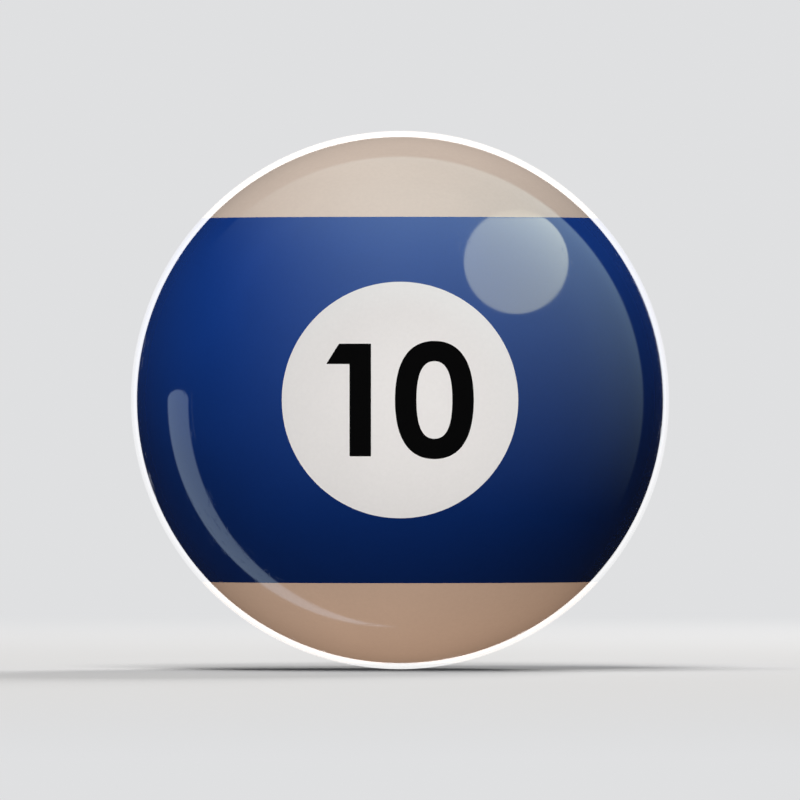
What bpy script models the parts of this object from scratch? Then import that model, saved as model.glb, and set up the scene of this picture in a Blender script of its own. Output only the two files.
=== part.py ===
"""Numbered pool ball, the striped ten, as the cast resin pieces that it is built from.

Metres, +Z up. The origin is the centre of the ball. The stripe runs round the Z axis, one number faces -Y
and the other faces +Y, and both stand upright along Z.

A blue zone runs right through the ball, and its rim shows as the stripe. An ivory cap is cast on each flat end
of it. A white plug sits in a socket on each side, and each plug has two black digits cast into its face. Every
piece is cast oversize, and all of them are then ground to one sphere, so here each rough casting is cut back
to the same ground ball. The bonds between them are left as narrow gaps, so that each piece is its own solid.
"""

import math

import bmesh
import bpy

# Driving dimensions, in metres. Heights and diameters on the ball's face are measured straight on, not round it.
BALL_DIAMETER = 0.05715
STRIPE_HEIGHT = 0.03858
DISC_DIAMETER = 0.02484
PLUG_DEPTH = 0.008
PLUG_CHAMFER = 0.0006
DIGIT_DEPTH = 0.0035
BOND_GAP = 0.0003

# The numerals: upright strokes, level strokes, and where the two digits stand.
NUMERAL_HEIGHT = 0.01183
UPRIGHT_STROKE = 0.00226
LEVEL_STROKE = 0.00214
ONE_WIDTH = 0.00471
ONE_FLAG_SLANT = 0.00134
ZERO_WIDTH = 0.00828
ZERO_OVERSHOOT = 0.00029
DIGIT_SPACE = 0.00251
ZERO_OUTER_SQUARENESS = 2.35
ZERO_INNER_SQUARENESS = 2.45

# How finely the round shapes are faceted.
BALL_SEGMENTS = 72
PLUG_SEGMENTS = 72
ZERO_POINTS = 40

# How far a rough casting stands proud of the ground ball.
GRINDING_STOCK = 0.002

BALL_RADIUS = BALL_DIAMETER / 2
STRIPE_EDGE = STRIPE_HEIGHT / 2
PLUG_RADIUS = DISC_DIAMETER / 2
ROUGH_RADIUS = BALL_RADIUS + GRINDING_STOCK
PAIR_WIDTH = ONE_WIDTH + DIGIT_SPACE + ZERO_WIDTH

# Linear colour and roughness of each resin.
RESINS = {
    "ivory_resin": ((0.505, 0.412, 0.348), 0.08),
    "blue_resin": ((0.002, 0.032, 0.192), 0.06),
    "white_resin": ((0.800, 0.775, 0.760), 0.07),
    "black_resin": ((0.002, 0.002, 0.002), 0.06),
}


def clear_scene():
    for obj in list(bpy.data.objects):
        bpy.data.objects.remove(obj, do_unlink=True)


def new_collection(name):
    collection = bpy.data.collections.new(name)
    bpy.context.scene.collection.children.link(collection)
    return collection


def resin(name):
    colour, roughness = RESINS[name]
    material = bpy.data.materials.get(name) or bpy.data.materials.new(name)
    material.use_nodes = True
    shader = material.node_tree.nodes["Principled BSDF"]
    shader.inputs["Base Color"].default_value = (*colour, 1.0)
    shader.inputs["Roughness"].default_value = roughness
    shader.inputs["Metallic"].default_value = 0.0
    material.diffuse_color = (*colour, 1.0)
    return material


def take(obj, name, collection, parent=None):
    """Names an object and moves it to a collection, under a parent whose frame it then uses."""
    obj.name = obj.data.name = name
    for old in list(obj.users_collection):
        old.objects.unlink(obj)
    collection.objects.link(obj)
    obj.parent = parent
    return obj


def as_helper(obj):
    obj.hide_render = True
    obj.display_type = "WIRE"
    return obj


def finish(obj, material_name):
    """Gives a piece its resin, and smooth shading with its rims kept sharp."""
    obj.data.materials.clear()
    obj.data.materials.append(resin(material_name))
    obj.data.shade_smooth()
    obj.data.set_sharp_from_angle(angle=math.radians(30))
    return obj


def add_boolean(obj, name, operation, other):
    modifier = obj.modifiers.new(name, "BOOLEAN")
    modifier.operation = operation
    modifier.solver = "EXACT"
    modifier.object = other


def cylinder(name, radius, low, high, segments, collection, parent=None):
    """A closed cylinder along Z from low to high."""
    bpy.ops.mesh.primitive_cylinder_add(
        vertices=segments, radius=radius, depth=high - low, location=(0, 0, (low + high) / 2)
    )
    return take(bpy.context.object, name, collection, parent)


def ground_ball(collection):
    """The finished sphere, which every rough casting is cut back to."""
    bpy.ops.mesh.primitive_uv_sphere_add(segments=BALL_SEGMENTS, ring_count=BALL_SEGMENTS // 2, radius=BALL_RADIUS)
    return as_helper(take(bpy.context.object, "ground_ball", collection))


def number_side(name, turn, collection):
    """An empty for one number: its X runs to the reader's right, its Y up the ball, and its Z out of the ball."""
    side = bpy.data.objects.new(name, None)
    side.rotation_euler = (math.radians(90), 0, turn)
    collection.objects.link(side)
    return side


def superellipse(centre_x, half_width, half_height, squareness):
    """Points of a rounded outline, anticlockwise. A squareness of 2 is an ellipse."""
    points = []
    for step in range(ZERO_POINTS):
        angle = 2 * math.pi * step / ZERO_POINTS
        across, up = math.cos(angle), math.sin(angle)
        points.append(
            (
                centre_x + half_width * math.copysign(abs(across) ** (2 / squareness), across),
                half_height * math.copysign(abs(up) ** (2 / squareness), up),
            )
        )
    return points


def one_outlines():
    """The 1: a stem, and a flag with a slanted end."""
    left = -PAIR_WIDTH / 2
    right = left + ONE_WIDTH
    stem_left = right - UPRIGHT_STROKE
    top = NUMERAL_HEIGHT / 2
    flag_foot = top - LEVEL_STROKE
    return [
        [
            (right, top),
            (left + ONE_FLAG_SLANT, top),
            (left, flag_foot),
            (stem_left, flag_foot),
            (stem_left, -top),
            (right, -top),
        ]
    ]


def zero_outlines():
    """The 0: its outer outline, then the outline of its counter, clockwise."""
    centre_x = PAIR_WIDTH / 2 - ZERO_WIDTH / 2
    half_width = ZERO_WIDTH / 2
    half_height = NUMERAL_HEIGHT / 2 + ZERO_OVERSHOOT
    outer = superellipse(centre_x, half_width, half_height, ZERO_OUTER_SQUARENESS)
    counter = superellipse(
        centre_x, half_width - UPRIGHT_STROKE, half_height - LEVEL_STROKE, ZERO_INNER_SQUARENESS
    )
    return [outer, counter[::-1]]


def grown(outline, distance):
    """An outline moved sideways by distance, to the right of the way it runs, with mitred corners."""
    moved = []
    for before, here, after in zip(outline[-1:] + outline[:-1], outline, outline[1:] + outline[:1]):
        normals = []
        for start, end in ((before, here), (here, after)):
            along_x, along_y = end[0] - start[0], end[1] - start[1]
            length = math.hypot(along_x, along_y)
            normals.append((along_y / length, -along_x / length))
        (ax, ay), (bx, by) = normals
        mitre = distance / (1 + ax * bx + ay * by)
        moved.append((here[0] + (ax + bx) * mitre, here[1] + (ay + by) * mitre))
    return moved


def prism(name, outlines, low, high, collection, parent):
    """A flat outline extruded along Z from low to high, as a mesh whose caps are welded to its sides."""
    curve = bpy.data.curves.new(name, "CURVE")
    curve.dimensions = "2D"
    curve.fill_mode = "BOTH"
    curve.extrude = (high - low) / 2
    for outline in outlines:
        spline = curve.splines.new("POLY")
        spline.points.add(len(outline) - 1)
        for point, (x, y) in zip(spline.points, outline):
            point.co = (x, y, 0, 1)
        spline.use_cyclic_u = True
    drawn = bpy.data.objects.new(name + "_outline", curve)
    drawn.location = (0, 0, (low + high) / 2)
    collection.objects.link(drawn)
    bpy.context.view_layer.update()
    evaluated = drawn.evaluated_get(bpy.context.evaluated_depsgraph_get())
    mesh = bpy.data.meshes.new_from_object(evaluated)
    welded = bmesh.new()
    welded.from_mesh(mesh)
    bmesh.ops.remove_doubles(welded, verts=welded.verts, dist=1e-6)
    welded.to_mesh(mesh)
    welded.free()
    solid = bpy.data.objects.new(name, mesh)
    solid.matrix_world = drawn.matrix_world
    bpy.data.objects.remove(drawn)
    return take(solid, name, collection, parent)


def make_stripe_zone(parts, cutters, ball, sides):
    """The blue zone: a slab right through the ball, with a socket for each number plug."""
    zone = cylinder("stripe_zone", ROUGH_RADIUS, -STRIPE_EDGE, STRIPE_EDGE, BALL_SEGMENTS, parts)
    add_boolean(zone, "grind", "INTERSECT", ball)
    socket_floor = BALL_RADIUS - PLUG_DEPTH - BOND_GAP
    for side in sides:
        socket = cylinder(
            side.name + "_socket", PLUG_RADIUS + BOND_GAP, socket_floor, ROUGH_RADIUS, PLUG_SEGMENTS, cutters, side
        )
        add_boolean(zone, socket.name, "DIFFERENCE", as_helper(socket))
    finish(zone, "blue_resin")


def make_cap(name, direction, parts, ball):
    """An ivory cap, cast on the end of the zone that faces direction, which is +1 for up and -1 for down."""
    inner, outer = STRIPE_EDGE + BOND_GAP, ROUGH_RADIUS
    low, high = sorted((direction * inner, direction * outer))
    cap = cylinder(name, ROUGH_RADIUS, low, high, BALL_SEGMENTS, parts)
    add_boolean(cap, "grind", "INTERSECT", ball)
    finish(cap, "ivory_resin")


def make_digit(side, name, outlines, plug, parts, cutters, ball):
    """A black digit, and the pocket in the plug's face that it is cast into."""
    floor = BALL_RADIUS - DIGIT_DEPTH
    digit = prism(f"{side.name}_{name}", outlines, floor, ROUGH_RADIUS, parts, side)
    add_boolean(digit, "grind", "INTERSECT", ball)
    finish(digit, "black_resin")
    pocket_outlines = [grown(outline, BOND_GAP) for outline in outlines]
    pocket = prism(f"{digit.name}_pocket", pocket_outlines, floor - BOND_GAP, ROUGH_RADIUS, cutters, side)
    add_boolean(plug, pocket.name, "DIFFERENCE", as_helper(pocket))


def make_number(side, parts, cutters, ball):
    """One number: the white plug with its foot chamfered to enter the socket, and its two digits."""
    foot = BALL_RADIUS - PLUG_DEPTH
    plug = cylinder(side.name + "_number_plug", PLUG_RADIUS, foot, ROUGH_RADIUS, PLUG_SEGMENTS, parts, side)
    chamfered = bmesh.new()
    chamfered.from_mesh(plug.data)
    lowest = min(vertex.co.z for vertex in chamfered.verts)
    foot_rim = [edge for edge in chamfered.edges if all(v.co.z < lowest + 1e-6 for v in edge.verts)]
    bmesh.ops.bevel(chamfered, geom=foot_rim, offset=PLUG_CHAMFER, segments=1, affect="EDGES")
    chamfered.to_mesh(plug.data)
    chamfered.free()
    add_boolean(plug, "grind", "INTERSECT", ball)
    finish(plug, "white_resin")
    make_digit(side, "digit_one", one_outlines(), plug, parts, cutters, ball)
    make_digit(side, "digit_zero", zero_outlines(), plug, parts, cutters, ball)


def main():
    clear_scene()
    parts = new_collection("numbered_pool_ball")
    cutters = new_collection("cutters")
    ball = ground_ball(cutters)
    sides = [number_side("front", 0, parts), number_side("back", math.pi, parts)]
    make_stripe_zone(parts, cutters, ball, sides)
    make_cap("upper_cap", 1, parts, ball)
    make_cap("lower_cap", -1, parts, ball)
    for side in sides:
        make_number(side, parts, cutters, ball)


main()
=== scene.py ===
"""Numbered pool ball: the fine surface of each cast piece, its polished resin, and a plain studio.

Metres, +Z up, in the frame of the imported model. The stripe runs round Z, and the front number faces -Y.
Each piece of the ball is a closed solid that meets its neighbours flush, as castings ground together do.
"""

import math

import bpy
from mathutils import Matrix, Vector


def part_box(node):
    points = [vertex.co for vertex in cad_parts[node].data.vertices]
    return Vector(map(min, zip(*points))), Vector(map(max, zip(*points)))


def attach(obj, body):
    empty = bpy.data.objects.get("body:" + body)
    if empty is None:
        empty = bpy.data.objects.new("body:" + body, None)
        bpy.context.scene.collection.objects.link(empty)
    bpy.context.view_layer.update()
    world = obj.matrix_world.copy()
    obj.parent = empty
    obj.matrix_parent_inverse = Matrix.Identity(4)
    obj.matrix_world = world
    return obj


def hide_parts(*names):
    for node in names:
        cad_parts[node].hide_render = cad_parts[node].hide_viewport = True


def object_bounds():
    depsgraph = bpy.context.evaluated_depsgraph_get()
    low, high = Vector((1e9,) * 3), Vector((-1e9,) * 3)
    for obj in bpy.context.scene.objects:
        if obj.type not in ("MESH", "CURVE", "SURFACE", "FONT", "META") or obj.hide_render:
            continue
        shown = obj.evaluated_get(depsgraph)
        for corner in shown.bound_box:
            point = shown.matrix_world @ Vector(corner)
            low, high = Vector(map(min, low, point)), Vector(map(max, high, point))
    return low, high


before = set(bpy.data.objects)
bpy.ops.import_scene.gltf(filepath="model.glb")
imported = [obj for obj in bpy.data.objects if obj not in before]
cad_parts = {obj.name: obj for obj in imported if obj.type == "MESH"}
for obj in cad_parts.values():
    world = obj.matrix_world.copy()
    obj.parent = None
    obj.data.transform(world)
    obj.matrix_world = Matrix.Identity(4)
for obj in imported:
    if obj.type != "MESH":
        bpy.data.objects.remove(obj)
cad_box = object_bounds()

# The ball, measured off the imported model.
BALL_RADIUS = (cad_box[1].z - cad_box[0].z) / 2
STRIPE_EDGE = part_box("stripe_zone")[1].z
PLUG_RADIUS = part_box("front_number_plug")[1].x
PLUG_DEPTH = BALL_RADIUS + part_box("front_number_plug")[1].y
DIGIT_DEPTH = BALL_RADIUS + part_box("front_digit_one")[1].y
PLUG_CHAMFER = 0.0006

# The numerals.
UPRIGHT_STROKE = 0.00226
LEVEL_STROKE = 0.00214
ONE_FLAG_SLANT = 0.00134
ONE_CORNER_RADIUS = 0.00009
# How far a quarter of the 0 bulges: the length of its handles as a share of its half width and half height.
ZERO_OUTER_BULGE = 0.652
ZERO_INNER_BULGE = 0.676

# How finely the round shapes are made.
BALL_SEGMENTS = 256
PLUG_SEGMENTS = 192
PLUG_CHAMFER_STEPS = 2
ONE_CORNER_STEPS = 3
ZERO_CURVE_STEPS = 24

# How far a tool stands out past the ball that it cuts.
CUTTER_OVERRUN = 0.002
# Points this near the sphere are on the ground face, and points this near a plug's foot are on the foot.
GROUND_TOLERANCE = 0.00001
# Points this near each other are one point, and edges that bend less than this run straight on.
WELD_DISTANCE = 0.000001
STRAIGHT_ANGLE = math.radians(0.1)

# Each resin: its colour, roughness where clean, the roughness that handling adds, its clouds and its grain.
RESIN_LOOKS = {
    "ivory_resin": ((0.505, 0.412, 0.348), 0.045, 0.05, 0.05, 0.04),
    "blue_resin": ((0.0053, 0.0345, 0.200), 0.040, 0.05, 0.10, 0.05),
    "white_resin": ((0.80, 0.775, 0.76), 0.045, 0.05, 0.03, 0.03),
    "black_resin": ((0.002, 0.002, 0.0021), 0.040, 0.05, 0.08, 0.05),
}
RESIN_IOR = 1.55

# How many clouds, grains, patches or cells lie along a metre.
CLOUD_SCALE = 85.0
GRAIN_SCALE = 2600.0
FILM_SCALE = 60.0
NICK_SCALE = 330.0
HAIRLINE_PATCH_SCALE = 140.0
# Each set of hairlines: how it is turned, and how many lie along a metre of each of its axes.
HAIRLINE_SETS = (
    ((0.3, 0.9, 0.2), (5200, 60, 900)),
    ((1.2, -0.4, 0.9), (900, 5600, 70)),
    ((-0.7, 0.5, 2.1), (70, 800, 6100)),
)
# The noise values between which a hairline, a patch of hairlines, a film or a cell with a nick fades in.
HAIRLINE_RANGE = (0.69, 0.76)
HAIRLINE_PATCH_RANGE = (0.42, 0.62)
FILM_RANGE = (0.45, 0.75)
NICK_CHOICE_RANGE = (0.86, 0.90)
# How far from the point of its cell a nick fades out, in cells.
NICK_DOT_RANGE = (0.02, 0.06)
# What the marks do: a hairline's added roughness, its depth beside a nick's, and the relief of both.
HAIRLINE_ROUGHNESS = 0.06
HAIRLINE_DEPTH = 0.25
RELIEF_STRENGTH = 0.35
RELIEF_DISTANCE = 0.00002

BACKDROP = (0.74, 0.745, 0.755)
FLOOR_COLOUR = (0.50, 0.495, 0.49)
# What the floor throws back at the ball, which is less than it shows the camera.
FLOOR_BOUNCE = (0.075, 0.068, 0.060)
# A little light that reaches the camera from the floor even in the deepest shade.
FLOOR_HAZE = 0.07
FLOOR_RADIUS = 12.0
FLOOR_SEGMENTS = 96
# How far from the ball the floor fades into the backdrop.
FLOOR_FADE = (0.10, 0.60)
CONTACT_SHADE_RADIUS = 0.0062
CONTACT_SHADE_DROP = 0.0001
CONTACT_SHADE_SEGMENTS = 64
LENS_MM = 1000
CAMERA_DISTANCE = 2.36
CAMERA_REACH = 100

# A flared card round the back of the ball, which glows on its outside. Its length is in ball radii.
CARD_FLARE = math.radians(28)
CARD_LENGTH = 1.18
CARD_GLOW_START = 0.85
CARD_GLOW_RISE = 2.8
CARD_GLOW_MOST = 2.5
CARD_SEGMENTS = 256

# What the polish mirrors: the light of each lamp, and of everything else.
LAMP_GLOW = (3.66, 3.81, 2.80)
CANOPY_GLOW = (1.11, 1.57, 1.63)
STRIP_GLOW = (0.90, 1.18, 1.48)
AMBIENT_GLOSS = 0.015
# The even light that falls on the floor, and on the colours under the polish.
AMBIENT = 0.03

# Where those lamps stand, by where they show on the front face of the ball, which make_studio_dome explains.
# LAMP_MIDDLE is a place, and every other pair is the range over which a light fades in or out.
LAMP_MIDDLE = (0.43, 0.512)
LAMP_RIM = (0.190, 0.197)
LAMP_FLAG = (0.672, 0.682)
LAMP_PAST_FLAG = 0.2
CANOPY_REACH = 0.45
CANOPY_LIFT = 1.6
CANOPY_SIDE = (-0.75, 0.05)
CANOPY_TOP = (0.62, 0.92)
CANOPY_PAST_TOP = 0.45
CANOPY_SHOULDER = (0.75, 0.90)
CANOPY_PAST_SHOULDER = 0.75
CANOPY_RIM = (0.897, 0.906)
CANOPY_OPENING = (0.30, 0.44)
STRIP_OUT = 0.822
STRIP_DRIFT = 0.018
STRIP_HALF_WIDTH = 0.039
STRIP_TAPER = 1.6
STRIP_SIDES = (-0.004, 0.002)
STRIP_ROUND_END = (0.035, 0.041)

WHITE = (1, 1, 1)
WARM = (0.92, 0.70, 0.55)
CASTINGS = ("blue_zone_casting", "upper_cap_casting", "lower_cap_casting")
DISCS = tuple(
    f"{side}_{part}"
    for side in ("front", "back")
    for part in ("number_disc", "digit_one_inlay", "digit_zero_inlay")
)
# Each softbox: its place, size, how bright it makes a white surface at the ball, colour, and what it lights.
SOFTBOXES = {
    "key_softbox": ((-0.02, -0.577, 0.729), 0.35, 0.62, WHITE, (*CASTINGS, "floor")),
    "top_softbox": ((-0.187, -0.051, 0.910), 0.40, 0.49, WHITE, (*CASTINGS, "floor")),
    "fill_softbox": ((-0.262, -0.893, 0.001), 0.40, 0.32, WHITE, CASTINGS),
    "back_softbox": ((0.33, 0.75, 0.45), 0.35, 1.00, WHITE, (*CASTINGS, "floor")),
    "cap_rim_light": ((-0.33, 0.70, 0.52), 0.35, 0.28, WHITE, ("upper_cap_casting",)),
    "front_disc_light": ((0.05, -0.97, 0.04), 0.40, 0.92, WHITE, DISCS),
    "back_disc_light": ((-0.05, 0.97, 0.04), 0.40, 0.92, WHITE, DISCS),
    "cap_bounce": ((0.0, 0.0, -0.90), 0.55, 1.0, WARM, ("lower_cap_casting",)),
}


# ---------------------------------------------------------------- modelling


def select_only(obj):
    bpy.ops.object.select_all(action="DESELECT")
    obj.select_set(True)
    bpy.context.view_layer.objects.active = obj


def settle(obj):
    """Puts an object's place and turn into its mesh."""
    select_only(obj)
    bpy.ops.object.transform_apply(location=True, rotation=True, scale=True)
    return obj


def blank_ball(name):
    """A fine sphere of the ball's radius, which every casting is ground to."""
    bpy.ops.object.select_all(action="DESELECT")
    bpy.ops.mesh.primitive_uv_sphere_add(
        segments=BALL_SEGMENTS, ring_count=BALL_SEGMENTS // 2, radius=BALL_RADIUS
    )
    ball = bpy.context.object
    ball.name = ball.data.name = name
    return ball


def saw(obj, height, keep_above):
    """Saws a solid flat across at a height, closes the cut, and keeps the side named."""
    select_only(obj)
    bpy.ops.object.mode_set(mode="EDIT")
    bpy.ops.mesh.select_all(action="SELECT")
    bpy.ops.mesh.bisect(
        plane_co=(0, 0, height),
        plane_no=(0, 0, 1),
        use_fill=True,
        clear_inner=keep_above,
        clear_outer=not keep_above,
    )
    bpy.ops.object.mode_set(mode="OBJECT")


def rod(name, radius, inner, outer, facing):
    """A closed cylinder along Y on the side that faces -Y or +Y, from a depth inner to outer."""
    bpy.ops.object.select_all(action="DESELECT")
    bpy.ops.mesh.primitive_cylinder_add(
        vertices=PLUG_SEGMENTS,
        radius=radius,
        depth=outer - inner,
        location=(0, facing * (inner + outer) / 2, 0),
        rotation=(math.radians(90), 0, 0 if facing < 0 else math.pi),
    )
    solid = bpy.context.object
    solid.name = solid.data.name = name
    return settle(solid)


def carve(obj, tool, operation):
    """Cuts obj with the tool, or keeps only what they share."""
    select_only(obj)
    modifier = obj.modifiers.new("carve", "BOOLEAN")
    modifier.operation = operation
    modifier.solver = "EXACT"
    modifier.object = tool
    bpy.ops.object.modifier_apply(modifier=modifier.name)


def chamfer_foot(plug, facing):
    """Bevels the rim of a plug's inner end, which leads it into its socket."""
    select_only(plug)
    depths = [vertex.co.y * facing for vertex in plug.data.vertices]
    foot = min(depths) + GROUND_TOLERANCE
    bpy.ops.object.mode_set(mode="EDIT")
    bpy.ops.mesh.select_mode(type="EDGE")
    bpy.ops.mesh.select_all(action="DESELECT")
    bpy.ops.object.mode_set(mode="OBJECT")
    for edge in plug.data.edges:
        edge.select = all(depths[v] < foot for v in edge.vertices)
    bpy.ops.object.mode_set(mode="EDIT")
    bpy.ops.mesh.bevel(offset=PLUG_CHAMFER, segments=PLUG_CHAMFER_STEPS, affect="EDGES")
    bpy.ops.object.mode_set(mode="OBJECT")


def draw_outline(name):
    """An empty flat curve that fills between its outlines."""
    curve = bpy.data.curves.new(name, "CURVE")
    curve.dimensions = "2D"
    curve.fill_mode = "BOTH"
    curve.resolution_u = ZERO_CURVE_STEPS
    drawn = bpy.data.objects.new(name, curve)
    bpy.context.scene.collection.objects.link(drawn)
    return drawn


def add_oval(curve, centre, half_width, half_height, bulge):
    """An upright oval of four points, whose bulge makes it squarer than an ellipse."""
    spline = curve.splines.new("BEZIER")
    spline.bezier_points.add(3)
    spline.use_cyclic_u = True
    for point, (across, up) in zip(spline.bezier_points, ((1, 0), (0, 1), (-1, 0), (0, -1))):
        place = Vector((centre + across * half_width, up * half_height, 0))
        reach = Vector((-up * half_width, across * half_height, 0)) * bulge
        point.co = place
        point.handle_left_type = point.handle_right_type = "FREE"
        point.handle_left = place - reach
        point.handle_right = place + reach


def add_corners(curve, corners):
    """A straight-sided outline."""
    spline = curve.splines.new("POLY")
    spline.points.add(len(corners) - 1)
    spline.use_cyclic_u = True
    for point, (x, y) in zip(spline.points, corners):
        point.co = (x, y, 0, 1)


def digit_tool(name, facing):
    """The form of one digit, standing through the face of the ball, as a solid that cuts and is cut."""
    side = "front" if facing < 0 else "back"
    low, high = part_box(f"{side}_{name}")
    # Read from outside the ball, so the back number runs the other way along X.
    left, right = (low.x, high.x) if facing < 0 else (-high.x, -low.x)
    top = high.z
    drawn = draw_outline(f"{side}_{name}_form")
    if name == "digit_one":
        stem_left = right - UPRIGHT_STROKE
        flag_foot = top - LEVEL_STROKE
        add_corners(
            drawn.data,
            [
                (right, top),
                (left + ONE_FLAG_SLANT, top),
                (left, flag_foot),
                (stem_left, flag_foot),
                (stem_left, low.z),
                (right, low.z),
            ],
        )
    else:
        centre, half_width = (left + right) / 2, (right - left) / 2
        add_oval(drawn.data, centre, half_width, top, ZERO_OUTER_BULGE)
        add_oval(drawn.data, centre, half_width - UPRIGHT_STROKE, top - LEVEL_STROKE, ZERO_INNER_BULGE)
    select_only(drawn)
    bpy.ops.object.convert(target="MESH")
    return raise_form(bpy.context.object, facing, name == "digit_one")


def raise_form(form, facing, rounded):
    """Raises a flat outline into a solid and stands it in the face of the ball."""
    select_only(form)
    bpy.ops.object.mode_set(mode="EDIT")
    bpy.ops.mesh.select_all(action="SELECT")
    bpy.ops.mesh.remove_doubles(threshold=WELD_DISTANCE)
    bpy.ops.mesh.dissolve_limited(angle_limit=STRAIGHT_ANGLE)
    bpy.ops.mesh.select_all(action="SELECT")
    if rounded:
        bpy.ops.mesh.bevel(offset=ONE_CORNER_RADIUS, segments=ONE_CORNER_STEPS, affect="VERTICES")
        bpy.ops.mesh.select_all(action="SELECT")
    bpy.ops.mesh.extrude_region_move(TRANSFORM_OT_translate={"value": (0, 0, DIGIT_DEPTH + CUTTER_OVERRUN)})
    bpy.ops.mesh.select_all(action="SELECT")
    bpy.ops.mesh.normals_make_consistent(inside=False)
    bpy.ops.object.mode_set(mode="OBJECT")
    upright = Matrix.Rotation(math.radians(90), 4, "X")
    to_pocket_floor = Matrix.Translation((0, DIGIT_DEPTH - BALL_RADIUS, 0))
    to_its_side = Matrix.Rotation(0 if facing < 0 else math.pi, 4, "Z")
    form.matrix_world = to_its_side @ to_pocket_floor @ upright
    return settle(form)


def grind(piece):
    """Gives the ground face the sphere's own normals, so that reflections cross the joints unbroken."""
    mesh = piece.data
    mesh.shade_smooth()
    normals = [None] * len(mesh.loops)
    for face in mesh.polygons:
        corners = [mesh.vertices[v].co for v in face.vertices]
        ground = all(abs(corner.length - BALL_RADIUS) < GROUND_TOLERANCE for corner in corners)
        for loop, corner in zip(face.loop_indices, corners):
            normals[loop] = corner.normalized() if ground else face.normal.copy()
    mesh.normals_split_custom_set(normals)


def finish_piece(piece, name, node, material):
    piece.name = piece.data.name = name
    piece.data.materials.clear()
    piece.data.materials.append(material)
    grind(piece)
    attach(piece, "root")
    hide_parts(node)


# ---------------------------------------------------------------- materials


def add_node(tree, kind, settings=None, inputs=None):
    """A node with its settings, and its inputs given as values or as other nodes' sockets."""
    node = tree.nodes.new(kind)
    for key, value in (settings or {}).items():
        setattr(node, key, value)
    for key, value in (inputs or {}).items():
        if isinstance(value, bpy.types.NodeSocket):
            tree.links.new(value, node.inputs[key])
        else:
            node.inputs[key].default_value = value
    return node


def calc(tree, operation, *values):
    node = add_node(tree, "ShaderNodeMath", {"operation": operation}, dict(enumerate(values)))
    return node.outputs[0]


def ramp(tree, value, low, high, to_low=0.0, to_high=1.0, smooth=True):
    """A value carried from one range to another, held at its ends."""
    kind = "SMOOTHSTEP" if smooth else "LINEAR"
    node = add_node(
        tree,
        "ShaderNodeMapRange",
        {"interpolation_type": kind, "clamp": True},
        {"Value": value, "From Min": low, "From Max": high, "To Min": to_low, "To Max": to_high},
    )
    return node.outputs["Result"]


def noise(tree, vector, scale, detail, **more):
    """A noise texture's value. more names its other inputs."""
    inputs = {"Vector": vector, "Scale": scale, "Detail": detail, **more}
    return add_node(tree, "ShaderNodeTexNoise", None, inputs).outputs["Fac"]


def length_of(tree, vector):
    return add_node(tree, "ShaderNodeVectorMath", {"operation": "LENGTH"}, {0: vector}).outputs["Value"]


def new_group(name, inputs, outputs):
    """A shader group with its named sockets. Each input is (name, type, default)."""
    group = bpy.data.node_groups.new(name, "ShaderNodeTree")
    for socket_name, kind, default in inputs:
        socket = group.interface.new_socket(socket_name, in_out="INPUT", socket_type=kind)
        socket.default_value = default
    for socket_name, kind in outputs:
        group.interface.new_socket(socket_name, in_out="OUTPUT", socket_type=kind)
    return group, group.nodes.new("NodeGroupInput"), group.nodes.new("NodeGroupOutput")


FLOAT, COLOUR, VECTOR = "NodeSocketFloat", "NodeSocketColor", "NodeSocketVector"


def make_clouding_group():
    """Cast resin is never quite even: slow clouds, and a fine grain of filler under the polish."""
    inputs = [
        ("Position", VECTOR, (0, 0, 0)),
        ("Colour", COLOUR, (1, 1, 1, 1)),
        ("Clouds", FLOAT, 0.05),
        ("Grain", FLOAT, 0.03),
    ]
    group, given, made = new_group("cast_clouding", inputs, [("Colour", COLOUR)])
    position = given.outputs["Position"]
    clouds = noise(group, position, CLOUD_SCALE, 3.0, Distortion=0.6)
    grain = noise(group, position, GRAIN_SCALE, 2.0)
    cloud_step = calc(group, "MULTIPLY", calc(group, "SUBTRACT", clouds, 0.5), given.outputs["Clouds"])
    grain_step = calc(group, "MULTIPLY", calc(group, "SUBTRACT", grain, 0.5), given.outputs["Grain"])
    steps = calc(group, "MULTIPLY", calc(group, "ADD", cloud_step, grain_step), 2.0)
    value = calc(group, "ADD", 1.0, steps)
    shading = {"Value": value, "Color": given.outputs["Colour"]}
    tinted = add_node(group, "ShaderNodeHueSaturation", None, shading)
    group.links.new(tinted.outputs["Color"], made.inputs["Colour"])
    return group


def make_hairline_group():
    """Hairlines left by the buffing wheel and by play: sparse, fine, and running three ways."""
    inputs = [("Position", VECTOR, (0, 0, 0)), ("Amount", FLOAT, 1.0)]
    group, given, made = new_group("buffing_hairlines", inputs, [("Height", FLOAT), ("Mask", FLOAT)])
    position = given.outputs["Position"]
    total = None
    for turn, stretch in HAIRLINE_SETS:
        turned = add_node(
            group,
            "ShaderNodeMapping",
            {"vector_type": "POINT"},
            {"Vector": position, "Rotation": turn, "Scale": stretch},
        )
        line = ramp(group, noise(group, turned.outputs["Vector"], 1.0, 1.0), *HAIRLINE_RANGE)
        total = line if total is None else calc(group, "MAXIMUM", total, line)
    patches = ramp(group, noise(group, position, HAIRLINE_PATCH_SCALE, 2.0), *HAIRLINE_PATCH_RANGE)
    mask = calc(group, "MULTIPLY", calc(group, "MULTIPLY", total, patches), given.outputs["Amount"])
    group.links.new(mask, made.inputs["Mask"])
    group.links.new(calc(group, "MULTIPLY", mask, -1.0), made.inputs["Height"])
    return group


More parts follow.
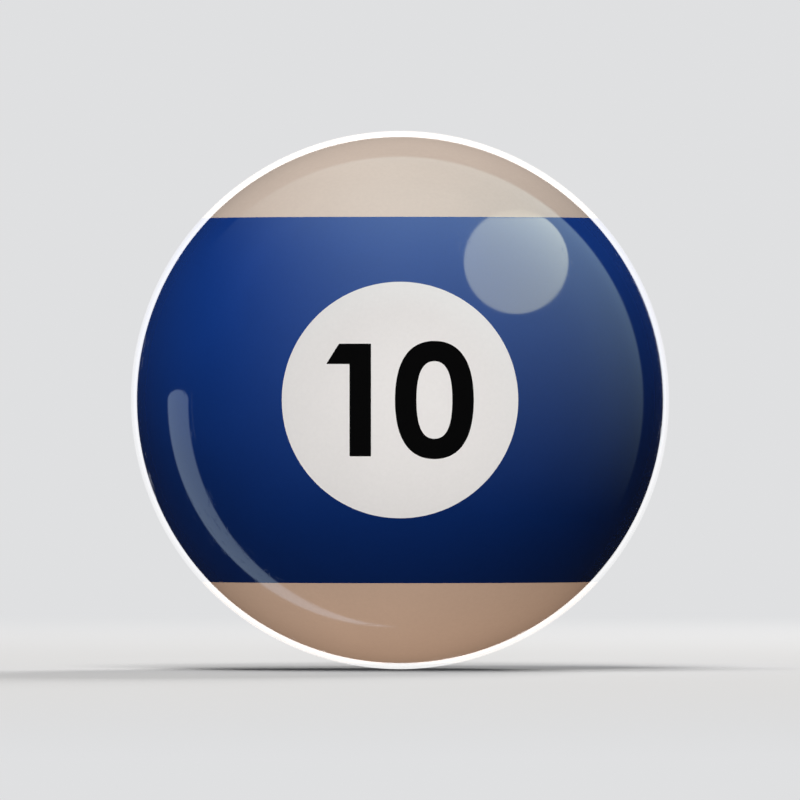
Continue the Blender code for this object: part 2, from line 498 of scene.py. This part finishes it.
def make_handling_group():
    """Handling: a faint film in slow patches that dulls the gloss, and a few tiny nicks from other balls."""
    inputs = [("Position", VECTOR, (0, 0, 0)), ("Film", FLOAT, 0.5), ("Nicks", FLOAT, 1.0)]
    group, given, made = new_group("handling_wear", inputs, [("Film", FLOAT), ("Height", FLOAT)])
    position = given.outputs["Position"]
    patches = ramp(
        group, noise(group, position, FILM_SCALE, 5.0, Roughness=0.6, Distortion=1.2), *FILM_RANGE
    )
    film = calc(group, "MULTIPLY", patches, given.outputs["Film"])
    cells = add_node(
        group, "ShaderNodeTexVoronoi", {"feature": "F1"}, {"Vector": position, "Scale": NICK_SCALE}
    )
    chosen = ramp(group, cells.outputs["Color"], *NICK_CHOICE_RANGE)
    dot = ramp(group, cells.outputs["Distance"], *NICK_DOT_RANGE, 1.0, 0.0)
    nick = calc(group, "MULTIPLY", calc(group, "MULTIPLY", dot, chosen), given.outputs["Nicks"])
    group.links.new(film, made.inputs["Film"])
    group.links.new(calc(group, "MULTIPLY", nick, -1.0), made.inputs["Height"])
    return group


CLOUDING = make_clouding_group()
HAIRLINES = make_hairline_group()
HANDLING = make_handling_group()


def add_group(tree, group, **inputs):
    return add_node(tree, "ShaderNodeGroup", {"node_tree": group}, inputs).outputs


def make_resin(name, colour, gloss, film, clouds, grain):
    """A polished cast resin. gloss is its roughness where clean, and film is what handling adds to it."""
    material = bpy.data.materials.new(name)
    material.use_nodes = True
    tree = material.node_tree
    shader = tree.nodes["Principled BSDF"]
    position = add_node(tree, "ShaderNodeTexCoord").outputs["Object"]
    body = add_group(tree, CLOUDING, Position=position, Colour=(*colour, 1), Clouds=clouds, Grain=grain)
    marks = add_group(tree, HAIRLINES, Position=position, Amount=1.0)
    wear = add_group(tree, HANDLING, Position=position, Film=1.0, Nicks=1.0)
    tree.links.new(body["Colour"], shader.inputs["Base Color"])
    roughness = calc(tree, "ADD", gloss, calc(tree, "MULTIPLY", wear["Film"], film))
    roughness = calc(tree, "ADD", roughness, calc(tree, "MULTIPLY", marks["Mask"], HAIRLINE_ROUGHNESS))
    tree.links.new(roughness, shader.inputs["Roughness"])
    height = calc(tree, "ADD", calc(tree, "MULTIPLY", marks["Height"], HAIRLINE_DEPTH), wear["Height"])
    relief = {"Height": height, "Strength": RELIEF_STRENGTH, "Distance": RELIEF_DISTANCE}
    bump = add_node(tree, "ShaderNodeBump", None, relief)
    tree.links.new(bump.outputs["Normal"], shader.inputs["Normal"])
    shader.inputs["IOR"].default_value = RESIN_IOR
    return material


RESINS = {name: make_resin(name, *look) for name, look in RESIN_LOOKS.items()}


# ---------------------------------------------------------------- the ball


def make_caps():
    for name, edge, above in (("upper_cap", STRIPE_EDGE, True), ("lower_cap", -STRIPE_EDGE, False)):
        cap = blank_ball(name)
        saw(cap, edge, above)
        finish_piece(cap, f"{name}_casting", name, RESINS["ivory_resin"])


def make_number(facing, ball, zone):
    """A socket in the zone, the plug that fills it, and two digits let into the plug's face."""
    side = "front" if facing < 0 else "back"
    foot = BALL_RADIUS - PLUG_DEPTH
    plug = rod(f"{side}_plug", PLUG_RADIUS, foot, BALL_RADIUS + CUTTER_OVERRUN, facing)
    carve(zone, plug, "DIFFERENCE")
    chamfer_foot(plug, facing)
    carve(plug, ball, "INTERSECT")
    for name in ("digit_one", "digit_zero"):
        form = digit_tool(name, facing)
        carve(plug, form, "DIFFERENCE")
        carve(form, ball, "INTERSECT")
        node = f"{side}_{name}"
        finish_piece(form, f"{node}_inlay", node, RESINS["black_resin"])
    node = f"{side}_number_plug"
    finish_piece(plug, f"{side}_number_disc", node, RESINS["white_resin"])


def make_ball():
    ball = blank_ball("ground_ball")
    zone = blank_ball("zone")
    saw(zone, STRIPE_EDGE, False)
    saw(zone, -STRIPE_EDGE, True)
    for facing in (-1, 1):
        make_number(facing, ball, zone)
    finish_piece(zone, "blue_zone_casting", "stripe_zone", RESINS["blue_resin"])
    make_caps()
    bpy.data.objects.remove(ball, do_unlink=True)


make_ball()


# ---------------------------------------------------------------- the studio


def bare_material(name):
    """A material with nothing but its output, its node tree, and the socket that its surface goes to."""
    material = bpy.data.materials.new(name)
    material.use_nodes = True
    tree = material.node_tree
    tree.nodes.remove(tree.nodes["Principled BSDF"])
    return material, tree, tree.nodes["Material Output"].inputs["Surface"]


def emission(tree, colour, strength):
    inputs = {"Color": (*colour, 1), "Strength": strength}
    return add_node(tree, "ShaderNodeEmission", None, inputs).outputs[0]


def background(tree, colour, strength):
    inputs = {"Color": colour, "Strength": strength}
    return add_node(tree, "ShaderNodeBackground", None, inputs).outputs[0]


def mix_shaders(tree, share, first, second):
    """The first shader where share is 0, and the second where it is 1."""
    return add_node(tree, "ShaderNodeMixShader", None, {0: share, 1: first, 2: second}).outputs[0]


def make_floor():
    """A plain pale floor that fades into the backdrop well away from the ball."""
    bpy.ops.object.select_all(action="DESELECT")
    bpy.ops.mesh.primitive_circle_add(
        vertices=FLOOR_SEGMENTS, radius=FLOOR_RADIUS, fill_type="NGON", location=(0, 0, -BALL_RADIUS)
    )
    floor = bpy.context.object
    floor.name = "floor"
    material, tree, surface = bare_material("pale_floor")
    position = add_node(tree, "ShaderNodeTexCoord").outputs["Object"]
    seen = add_node(tree, "ShaderNodeLightPath").outputs["Is Camera Ray"]
    cloth = add_node(
        tree,
        "ShaderNodeMix",
        {"data_type": "RGBA"},
        {0: seen, 6: (*FLOOR_BOUNCE, 1), 7: (*FLOOR_COLOUR, 1)},
    )
    matt = add_node(tree, "ShaderNodeBsdfDiffuse", None, {"Color": cloth.outputs[2]}).outputs[0]
    haze = emission(tree, BACKDROP, calc(tree, "MULTIPLY", seen, FLOOR_HAZE))
    near = add_node(tree, "ShaderNodeAddShader", None, {0: matt, 1: haze}).outputs[0]
    far = emission(tree, BACKDROP, 1.0)
    fade = ramp(tree, length_of(tree, position), *FLOOR_FADE)
    tree.links.new(mix_shaders(tree, fade, near, far), surface)
    floor.data.materials.append(material)
    floor.visible_glossy = False
    floor.visible_shadow = False


def make_contact_shade():
    """A small unseen disc under the ball, which keeps the bounced light off the point of contact."""
    bpy.ops.object.select_all(action="DESELECT")
    bpy.ops.mesh.primitive_circle_add(
        vertices=CONTACT_SHADE_SEGMENTS,
        radius=CONTACT_SHADE_RADIUS,
        fill_type="NGON",
        location=(0, 0, -BALL_RADIUS - CONTACT_SHADE_DROP),
    )
    shade = bpy.context.object
    shade.name = "contact_shade"
    shade.visible_camera = shade.visible_diffuse = shade.visible_glossy = False


def make_rim_card():
    """A flared card round the back of the ball, brighter outwards, which its rim mirrors as a thin pale line.

    It starts at the ball's waist and only its outside glows, so the back half of the ball can't mirror it.
    """
    length = CARD_LENGTH * BALL_RADIUS
    bpy.ops.object.select_all(action="DESELECT")
    bpy.ops.mesh.primitive_cone_add(
        vertices=CARD_SEGMENTS,
        radius1=BALL_RADIUS,
        radius2=BALL_RADIUS + length * math.tan(CARD_FLARE),
        depth=length,
        end_fill_type="NOTHING",
        location=(0, length / 2, 0),
        rotation=(math.radians(-90), 0, 0),
    )
    card = settle(bpy.context.object)
    card.name = "rim_card"
    material, tree, surface = bare_material("glowing_card")
    position = add_node(tree, "ShaderNodeTexCoord").outputs["Object"]
    back = add_node(tree, "ShaderNodeSeparateXYZ", None, {0: position}).outputs["Y"]
    root = calc(tree, "SQRT", calc(tree, "MAXIMUM", calc(tree, "DIVIDE", back, BALL_RADIUS), 0.0))
    glow = calc(tree, "ADD", calc(tree, "MULTIPLY", root, CARD_GLOW_RISE), CARD_GLOW_START)
    lit = emission(tree, WHITE, calc(tree, "MINIMUM", glow, CARD_GLOW_MOST))
    clear = add_node(tree, "ShaderNodeBsdfTransparent").outputs[0]
    inside = add_node(tree, "ShaderNodeNewGeometry").outputs["Backfacing"]
    tree.links.new(mix_shaders(tree, inside, lit, clear), surface)
    material.cycles.emission_sampling = "NONE"
    card.data.materials.append(material)
    card.visible_camera = card.visible_diffuse = card.visible_shadow = card.visible_transmission = False


def distance_from(tree, across, up, place):
    """How far a direction of the dome shows from a place on the face of the ball."""
    aside = calc(tree, "SUBTRACT", across, place[0])
    above = calc(tree, "SUBTRACT", up, place[1])
    squares = calc(tree, "ADD", calc(tree, "MULTIPLY", aside, aside), calc(tree, "MULTIPLY", above, above))
    return calc(tree, "SQRT", squares)


def draw_lamp(tree, across, up):
    """A round softbox above and to the right, with a flag across its top."""
    disc = ramp(tree, distance_from(tree, across, up, LAMP_MIDDLE), *LAMP_RIM, 1.0, 0.0)
    return calc(tree, "MULTIPLY", disc, ramp(tree, up, *LAMP_FLAG, 1.0, LAMP_PAST_FLAG))


def draw_canopy(tree, across, up, out):
    """A broad pale canopy above and to the right, with a clean edge towards the rim."""
    lift = calc(tree, "MAXIMUM", calc(tree, "ADD", up, CANOPY_REACH), 0.0)
    canopy = calc(tree, "POWER", lift, CANOPY_LIFT)
    canopy = calc(tree, "MULTIPLY", canopy, ramp(tree, across, *CANOPY_SIDE))
    canopy = calc(tree, "MULTIPLY", canopy, ramp(tree, up, *CANOPY_TOP, 1.0, CANOPY_PAST_TOP))
    canopy = calc(tree, "MULTIPLY", canopy, ramp(tree, out, *CANOPY_SHOULDER, 1.0, CANOPY_PAST_SHOULDER))
    canopy = calc(tree, "MULTIPLY", canopy, ramp(tree, out, *CANOPY_RIM, 1.0, 0.0))
    # The opening that the camera looks through.
    return calc(tree, "MULTIPLY", canopy, ramp(tree, out, *CANOPY_OPENING))


def draw_strip(tree, across, up, out):
    """A bent strip lamp low on the left, round at its upper end and drawn out to a point below."""
    angle = calc(tree, "ARCTAN2", up, across)
    along = ramp(tree, angle, -math.pi, -math.pi / 2, smooth=False)
    narrowed = calc(tree, "SUBTRACT", 1.0, calc(tree, "POWER", along, STRIP_TAPER))
    half_width = calc(tree, "MULTIPLY", narrowed, STRIP_HALF_WIDTH)
    middle = calc(tree, "ADD", STRIP_OUT, calc(tree, "MULTIPLY", along, STRIP_DRIFT))
    off_middle = calc(tree, "ABSOLUTE", calc(tree, "SUBTRACT", out, middle))
    band = ramp(tree, calc(tree, "SUBTRACT", off_middle, half_width), *STRIP_SIDES, 1.0, 0.0)
    low, left = calc(tree, "LESS_THAN", up, 0.0), calc(tree, "LESS_THAN", across, 0.0)
    band = calc(tree, "MULTIPLY", band, calc(tree, "MULTIPLY", low, left))
    round_end = ramp(tree, distance_from(tree, across, up, (-STRIP_OUT, 0.0)), *STRIP_ROUND_END, 1.0, 0.0)
    return calc(tree, "MAXIMUM", band, round_end)


def make_studio_dome():
    """The surroundings that the polish mirrors, and a plain backdrop for the camera.

    A direction is placed by where it shows on the front face of the ball, as on a mirror ball: across and
    up run from -1 to 1 over the face, and out is 0 at its middle and 1 at its rim, which mirrors what lies
    behind.
    """
    world = bpy.data.worlds.new("studio")
    bpy.context.scene.world = world
    world.use_nodes = True
    tree = world.node_tree
    tree.nodes.clear()
    direction = add_node(tree, "ShaderNodeTexCoord").outputs["Generated"]
    axes = add_node(tree, "ShaderNodeSeparateXYZ", None, {0: direction}).outputs
    ahead = calc(tree, "MULTIPLY", calc(tree, "SUBTRACT", 1.0, axes["Y"]), 2.0)
    # Kept above nothing, so that the way straight behind the ball can be divided by it.
    spread = calc(tree, "SQRT", calc(tree, "MAXIMUM", ahead, 1e-6))
    across = calc(tree, "DIVIDE", axes["X"], spread)
    up = calc(tree, "DIVIDE", axes["Z"], spread)
    out = calc(tree, "SQRT", calc(tree, "MULTIPLY", calc(tree, "ADD", 1.0, axes["Y"]), 0.5))

    mirrored = (AMBIENT_GLOSS,) * 3
    for shape, colour in (
        (draw_lamp(tree, across, up), LAMP_GLOW),
        (draw_canopy(tree, across, up, out), CANOPY_GLOW),
        (draw_strip(tree, across, up, out), STRIP_GLOW),
    ):
        scaled = {0: colour, "Scale": shape}
        part = add_node(tree, "ShaderNodeVectorMath", {"operation": "SCALE"}, scaled).outputs[0]
        total = {0: mirrored, 1: part}
        mirrored = add_node(tree, "ShaderNodeVectorMath", {"operation": "ADD"}, total).outputs[0]

    rays = add_node(tree, "ShaderNodeLightPath").outputs
    ambient = background(tree, (*WHITE, 1), AMBIENT)
    lit = mix_shaders(tree, rays["Is Glossy Ray"], ambient, background(tree, mirrored, 1.0))
    shown = mix_shaders(tree, rays["Is Camera Ray"], lit, background(tree, (*BACKDROP, 1), 1.0))
    tree.links.new(shown, add_node(tree, "ShaderNodeOutputWorld").inputs["Surface"])


def add_softbox(name, place, size, glow, colour, lights):
    """A square softbox aimed at the ball, which lights the pieces named without showing in the polish."""
    data = bpy.data.lights.new(name, "AREA")
    data.shape = "SQUARE"
    data.size = size
    # The power that makes a white surface facing it at the ball this bright.
    data.energy = glow * (math.pi * Vector(place).length) ** 2
    data.color = colour
    # Found by direct sampling alone, because mixed sampling makes a linked lamp too bright or too dark.
    data.cycles.use_multiple_importance_sampling = False
    lamp = bpy.data.objects.new(name, data)
    bpy.context.scene.collection.objects.link(lamp)
    lamp.location = place
    lamp.rotation_euler = (-Vector(place)).to_track_quat("-Z", "Y").to_euler()
    lamp.visible_glossy = False
    lit = bpy.data.collections.new(name + "_lights")
    for piece in lights:
        lit.objects.link(bpy.data.objects[piece])
    lamp.light_linking.receiver_collection = lit


def make_lights():
    for name, settings in SOFTBOXES.items():
        add_softbox(name, *settings)
    # The lower cap's own bounce doesn't tint the floor.
    bpy.data.objects["lower_cap_casting"].visible_diffuse = False


def make_camera():
    data = bpy.data.cameras.new("camera")
    data.lens = LENS_MM
    data.clip_end = CAMERA_REACH
    camera = bpy.data.objects.new("camera", data)
    bpy.context.scene.collection.objects.link(camera)
    camera.location = (0, -CAMERA_DISTANCE, 0)
    camera.rotation_euler = (math.radians(90), 0, 0)
    bpy.context.scene.camera = camera


make_floor()
make_contact_shade()
make_rim_card()
make_studio_dome()
make_lights()
make_camera()
bpy.context.scene.view_settings.view_transform = "Standard"
